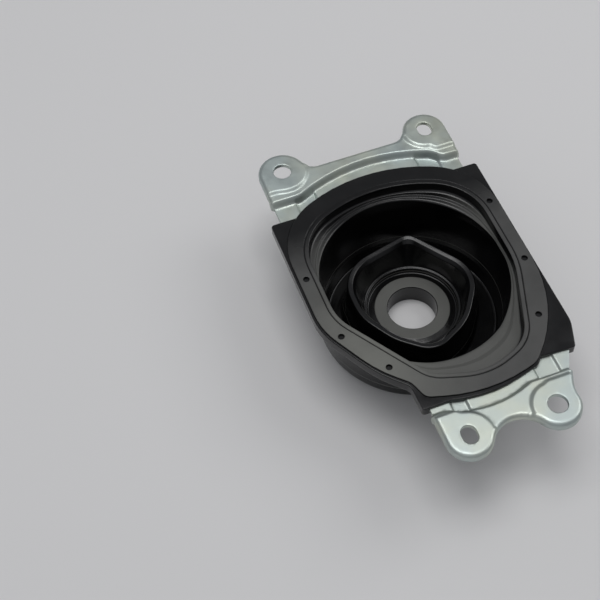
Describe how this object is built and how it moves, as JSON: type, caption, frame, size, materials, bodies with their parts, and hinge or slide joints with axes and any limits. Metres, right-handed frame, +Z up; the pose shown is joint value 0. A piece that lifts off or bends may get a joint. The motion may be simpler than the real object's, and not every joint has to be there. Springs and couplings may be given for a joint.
{
  "type": "gear lever gaiter",
  "caption": "Black rubber gear lever gaiter moulded round a zinc-plated pressed steel carrier with bolt ears, a round bowl, a five-sided bellows ridge and a lever collar.",
  "frame": {"origin": "under the middle of the whole length and width, level with the lowest face of the rubber bowl", "axes": "+X across the part to the picture's right, +Y along its length towards the bracket with the widely spaced ears, +Z up out of the mouth of the bowl; the lever bore is parallel to Z at X 0, Y 5.5 mm"},
  "size_m": [0.1072, 0.188, 0.045],
  "materials": {
    "black_rubber": "satin black moulded rubber",
    "zinc_plated_steel": "bluish satin zinc plate"
  },
  "bodies": {
    "root": {"rubber_gaiter": "black_rubber", "steel_carrier": "zinc_plated_steel"}
  },
  "joints": []
}
